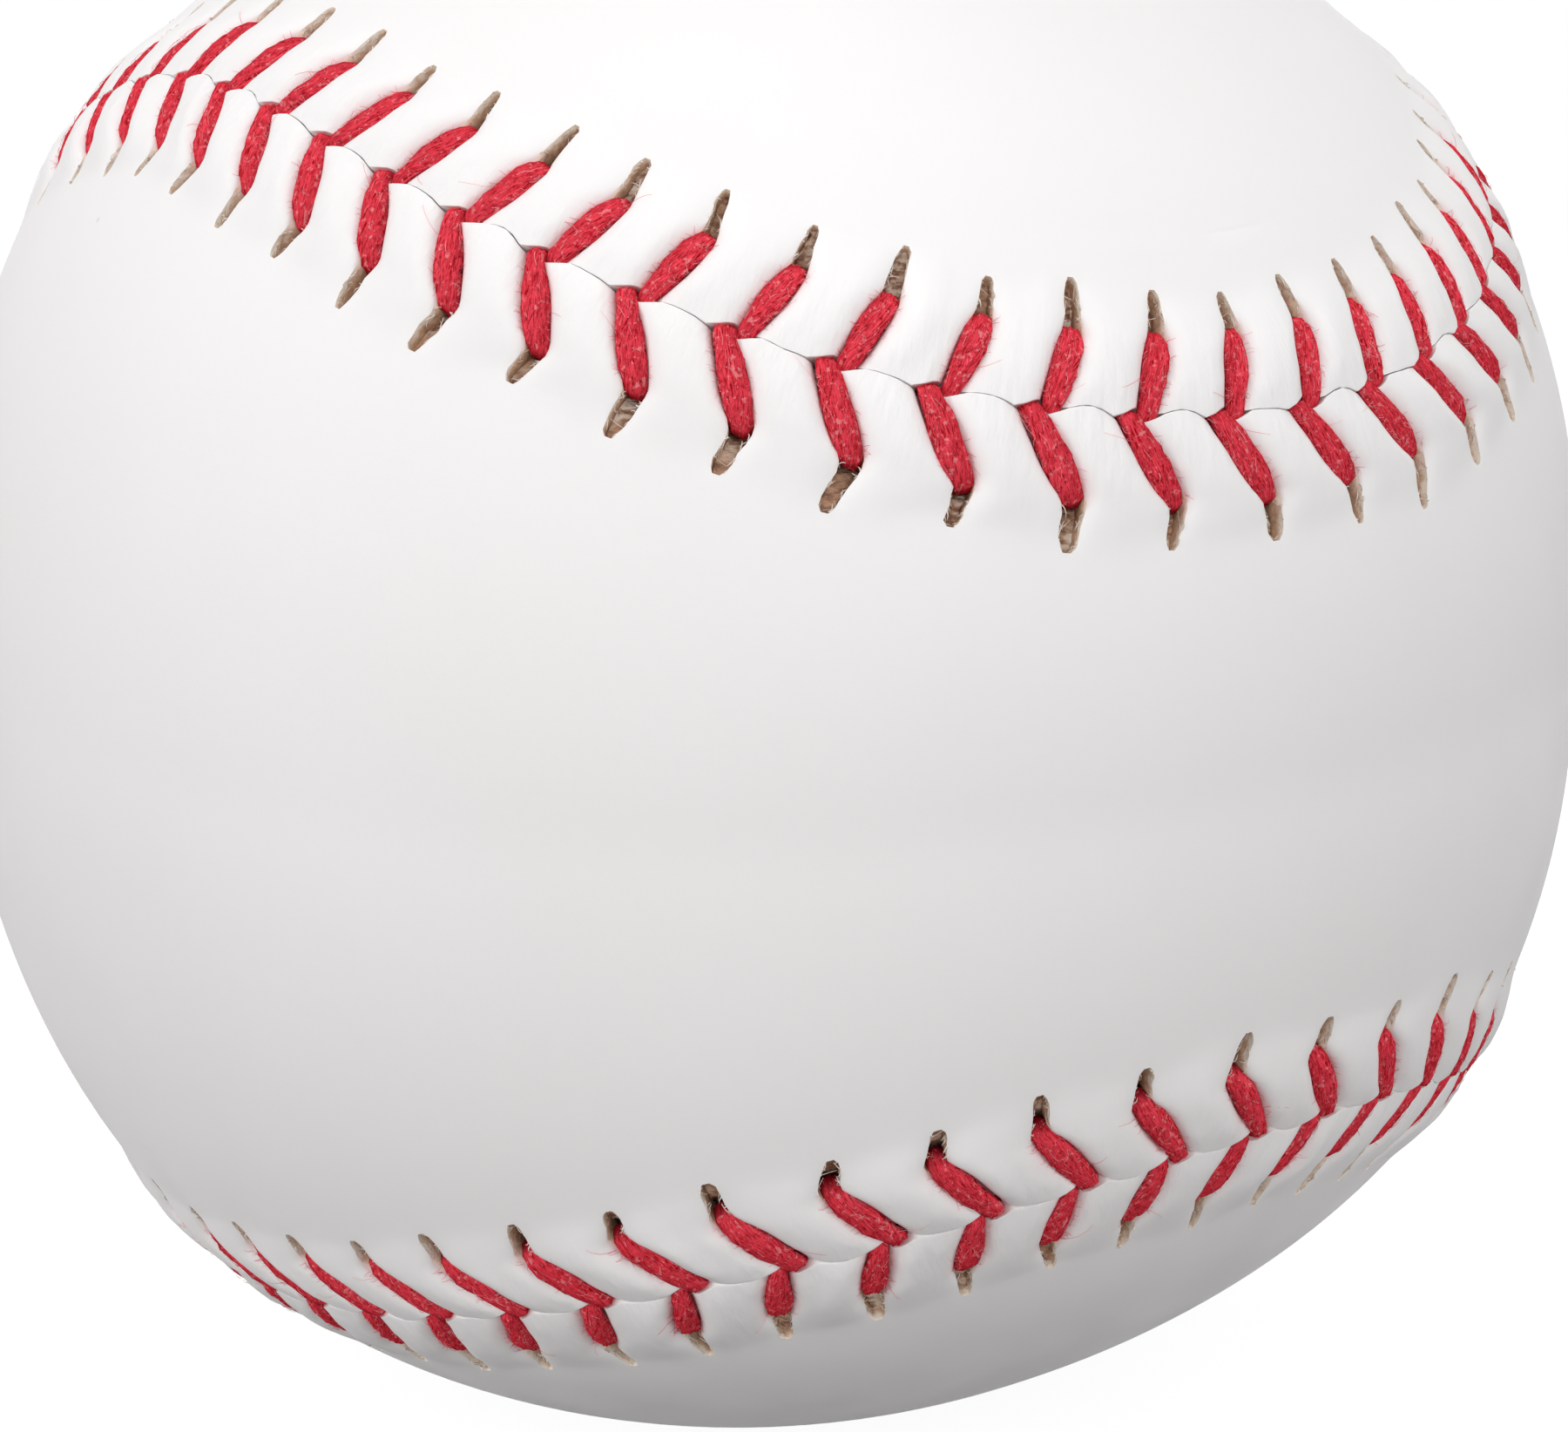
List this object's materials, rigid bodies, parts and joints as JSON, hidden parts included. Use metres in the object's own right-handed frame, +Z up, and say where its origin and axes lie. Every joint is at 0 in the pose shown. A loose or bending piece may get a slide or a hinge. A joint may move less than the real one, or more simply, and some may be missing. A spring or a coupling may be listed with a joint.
{
  "type": "baseball",
  "caption": "Hand-sewn leather baseball: cork and rubber core, wound yarn, two figure-of-eight panels and raised red stitching through open slits.",
  "frame": {"origin": "centre of the ball, which is the centre of its cork core", "axes": "+Z up as the ball lies in the picture, and -Y towards the viewer. The seam figure is turned by the three lie angles in the source, so that its necks lie on neither axis"},
  "size_m": [0.0732, 0.0741, 0.0732],
  "materials": {
    "cork": "composition cork, pressed and matt",
    "black_rubber": "moulded, matt",
    "red_rubber": "moulded, satin",
    "gray_wool": "wound wool yarn",
    "white_wool": "wound wool yarn",
    "finishing_yarn": "fine wound yarn",
    "adhesive": "dried rubber cement, brown",
    "white_leather": "smooth white full-grain, faint grain",
    "red_thread": "waxed twisted thread with loose fibres"
  },
  "bodies": {
    "root": {"cork_core": "cork", "rubber_half_shell_upper": "black_rubber", "rubber_half_shell_lower": "black_rubber", "sealing_washer_upper": "red_rubber", "sealing_washer_lower": "red_rubber", "rubber_cushion_layer": "red_rubber", "winding_gray_four_ply": "gray_wool", "winding_white_three_ply": "white_wool", "winding_gray_three_ply": "gray_wool", "winding_finishing_yarn": "finishing_yarn", "adhesive_coat": "adhesive", "cover_panel_a": "white_leather", "cover_panel_b": "white_leather", "stitching_thread_a": "red_thread", "stitching_thread_b": "red_thread"}
  },
  "joints": []
}
